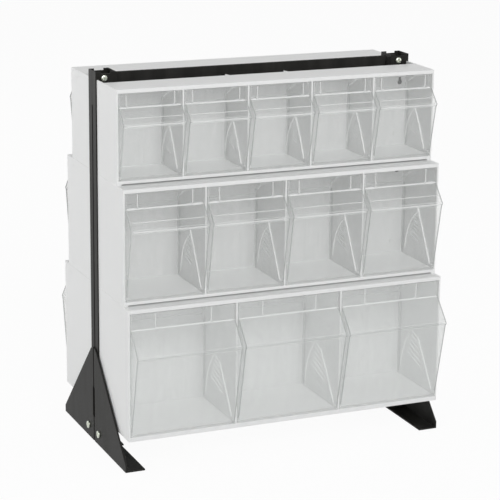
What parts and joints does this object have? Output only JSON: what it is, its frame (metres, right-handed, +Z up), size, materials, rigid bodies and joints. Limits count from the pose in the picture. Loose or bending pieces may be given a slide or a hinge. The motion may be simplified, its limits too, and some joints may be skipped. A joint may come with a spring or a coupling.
{
  "type": "tilt-out bin rack",
  "caption": "Double-sided counter rack of clear tilt-out bins in stepped white housings, on a dark steel stand with triangular feet, for sorting small parts.",
  "frame": {"origin": "on the counter, at the bottom centre between the four feet", "axes": "+X along the rack to the right as seen from the front, -Y towards the front side, +Y towards the rear side, +Z up"},
  "size_m": [0.6152, 0.421, 0.6775],
  "materials": {
    "housing_plastic": "moulded white plastic, slightly satin",
    "cup_clear": "clear moulded plastic, slightly hazy",
    "stand_paint": "dark grey powder coat on steel sheet",
    "fasteners_zinc": "bright zinc plate"
  },
  "bodies": {
    "rack": {"housing_front_bottom": "housing_plastic", "housing_rear_bottom": "housing_plastic", "housing_front_middle": "housing_plastic", "housing_rear_middle": "housing_plastic", "housing_front_top": "housing_plastic", "housing_rear_top": "housing_plastic", "upright_front_left": "stand_paint", "upright_rear_left": "stand_paint", "foot_front_left": "stand_paint", "foot_rear_left": "stand_paint", "base_channel_left": "stand_paint", "upright_front_right": "stand_paint", "upright_rear_right": "stand_paint", "foot_front_right": "stand_paint", "foot_rear_right": "stand_paint", "base_channel_right": "stand_paint", "top_rail_front": "stand_paint", "top_rail_rear": "stand_paint", "lower_rail_front": "stand_paint", "lower_rail_rear": "stand_paint", "frame_bolts": "fasteners_zinc", "frame_nuts": "fasteners_zinc", "foot_bolts": "fasteners_zinc", "foot_nuts": "fasteners_zinc", "push_rivets": "housing_plastic", "rail_rivets": "stand_paint"},
    "cup_front_bottom_1": {"cup_front_bottom_1": "cup_clear"},
    "cup_rear_bottom_1": {"cup_rear_bottom_1": "cup_clear"},
    "cup_front_bottom_2": {"cup_front_bottom_2": "cup_clear"},
    "cup_rear_bottom_2": {"cup_rear_bottom_2": "cup_clear"},
    "cup_front_bottom_3": {"cup_front_bottom_3": "cup_clear"},
    "cup_rear_bottom_3": {"cup_rear_bottom_3": "cup_clear"},
    "cup_front_middle_1": {"cup_front_middle_1": "cup_clear"},
    "cup_rear_middle_1": {"cup_rear_middle_1": "cup_clear"},
    "cup_front_middle_2": {"cup_front_middle_2": "cup_clear"},
    "cup_rear_middle_2": {"cup_rear_middle_2": "cup_clear"},
    "cup_front_middle_3": {"cup_front_middle_3": "cup_clear"},
    "cup_rear_middle_3": {"cup_rear_middle_3": "cup_clear"},
    "cup_front_middle_4": {"cup_front_middle_4": "cup_clear"},
    "cup_rear_middle_4": {"cup_rear_middle_4": "cup_clear"},
    "cup_front_top_1": {"cup_front_top_1": "cup_clear"},
    "cup_rear_top_1": {"cup_rear_top_1": "cup_clear"},
    "cup_front_top_2": {"cup_front_top_2": "cup_clear"},
    "cup_rear_top_2": {"cup_rear_top_2": "cup_clear"},
    "cup_front_top_3": {"cup_front_top_3": "cup_clear"},
    "cup_rear_top_3": {"cup_rear_top_3": "cup_clear"},
    "cup_front_top_4": {"cup_front_top_4": "cup_clear"},
    "cup_rear_top_4": {"cup_rear_top_4": "cup_clear"},
    "cup_front_top_5": {"cup_front_top_5": "cup_clear"},
    "cup_rear_top_5": {"cup_rear_top_5": "cup_clear"}
  },
  "joints": [
    {"name": "tilt_front_bottom_1", "type": "hinge", "parent": "rack", "child": "cup_front_bottom_1", "pos_m": [-0.19925, -0.168, 0.074], "axis": [1, 0, 0], "range_deg": [0, 40.8]},
    {"name": "tilt_rear_bottom_1", "type": "hinge", "parent": "rack", "child": "cup_rear_bottom_1", "pos_m": [-0.19925, 0.168, 0.074], "axis": [-1, 0, 0], "range_deg": [0, 40.8]},
    {"name": "tilt_front_bottom_2", "type": "hinge", "parent": "rack", "child": "cup_front_bottom_2", "pos_m": [0, -0.168, 0.074], "axis": [1, 0, 0], "range_deg": [0, 40.8]},
    {"name": "tilt_rear_bottom_2", "type": "hinge", "parent": "rack", "child": "cup_rear_bottom_2", "pos_m": [0, 0.168, 0.074], "axis": [-1, 0, 0], "range_deg": [0, 40.8]},
    {"name": "tilt_front_bottom_3", "type": "hinge", "parent": "rack", "child": "cup_front_bottom_3", "pos_m": [0.19925, -0.168, 0.074], "axis": [1, 0, 0], "range_deg": [0, 40.8]},
    {"name": "tilt_rear_bottom_3", "type": "hinge", "parent": "rack", "child": "cup_rear_bottom_3", "pos_m": [0.19925, 0.168, 0.074], "axis": [-1, 0, 0], "range_deg": [0, 40.8]},
    {"name": "tilt_front_middle_1", "type": "hinge", "parent": "rack", "child": "cup_front_middle_1", "pos_m": [-0.22425, -0.146, 0.311], "axis": [1, 0, 0], "range_deg": [0, 40.4]},
    {"name": "tilt_rear_middle_1", "type": "hinge", "parent": "rack", "child": "cup_rear_middle_1", "pos_m": [-0.22425, 0.146, 0.311], "axis": [-1, 0, 0], "range_deg": [0, 40.4]},
    {"name": "tilt_front_middle_2", "type": "hinge", "parent": "rack", "child": "cup_front_middle_2", "pos_m": [-0.075, -0.146, 0.311], "axis": [1, 0, 0], "range_deg": [0, 40.4]},
    {"name": "tilt_rear_middle_2", "type": "hinge", "parent": "rack", "child": "cup_rear_middle_2", "pos_m": [-0.075, 0.146, 0.311], "axis": [-1, 0, 0], "range_deg": [0, 40.4]},
    {"name": "tilt_front_middle_3", "type": "hinge", "parent": "rack", "child": "cup_front_middle_3", "pos_m": [0.075, -0.146, 0.311], "axis": [1, 0, 0], "range_deg": [0, 40.4]},
    {"name": "tilt_rear_middle_3", "type": "hinge", "parent": "rack", "child": "cup_rear_middle_3", "pos_m": [0.075, 0.146, 0.311], "axis": [-1, 0, 0], "range_deg": [0, 40.4]},
    {"name": "tilt_front_middle_4", "type": "hinge", "parent": "rack", "child": "cup_front_middle_4", "pos_m": [0.22425, -0.146, 0.311], "axis": [1, 0, 0], "range_deg": [0, 40.4]},
    {"name": "tilt_rear_middle_4", "type": "hinge", "parent": "rack", "child": "cup_rear_middle_4", "pos_m": [0.22425, 0.146, 0.311], "axis": [-1, 0, 0], "range_deg": [0, 40.4]},
    {"name": "tilt_front_top_1", "type": "hinge", "parent": "rack", "child": "cup_front_top_1", "pos_m": [-0.23925, -0.116, 0.516], "axis": [1, 0, 0], "range_deg": [0, 38.3]},
    {"name": "tilt_rear_top_1", "type": "hinge", "parent": "rack", "child": "cup_rear_top_1", "pos_m": [-0.23925, 0.116, 0.516], "axis": [-1, 0, 0], "range_deg": [0, 38.3]},
    {"name": "tilt_front_top_2", "type": "hinge", "parent": "rack", "child": "cup_front_top_2", "pos_m": [-0.12, -0.116, 0.516], "axis": [1, 0, 0], "range_deg": [0, 38.3]},
    {"name": "tilt_rear_top_2", "type": "hinge", "parent": "rack", "child": "cup_rear_top_2", "pos_m": [-0.12, 0.116, 0.516], "axis": [-1, 0, 0], "range_deg": [0, 38.3]},
    {"name": "tilt_front_top_3", "type": "hinge", "parent": "rack", "child": "cup_front_top_3", "pos_m": [0, -0.116, 0.516], "axis": [1, 0, 0], "range_deg": [0, 38.3]},
    {"name": "tilt_rear_top_3", "type": "hinge", "parent": "rack", "child": "cup_rear_top_3", "pos_m": [0, 0.116, 0.516], "axis": [-1, 0, 0], "range_deg": [0, 38.3]},
    {"name": "tilt_front_top_4", "type": "hinge", "parent": "rack", "child": "cup_front_top_4", "pos_m": [0.12, -0.116, 0.516], "axis": [1, 0, 0], "range_deg": [0, 38.3]},
    {"name": "tilt_rear_top_4", "type": "hinge", "parent": "rack", "child": "cup_rear_top_4", "pos_m": [0.12, 0.116, 0.516], "axis": [-1, 0, 0], "range_deg": [0, 38.3]},
    {"name": "tilt_front_top_5", "type": "hinge", "parent": "rack", "child": "cup_front_top_5", "pos_m": [0.23925, -0.116, 0.516], "axis": [1, 0, 0], "range_deg": [0, 38.3]},
    {"name": "tilt_rear_top_5", "type": "hinge", "parent": "rack", "child": "cup_rear_top_5", "pos_m": [0.23925, 0.116, 0.516], "axis": [-1, 0, 0], "range_deg": [0, 38.3]}
  ]
}
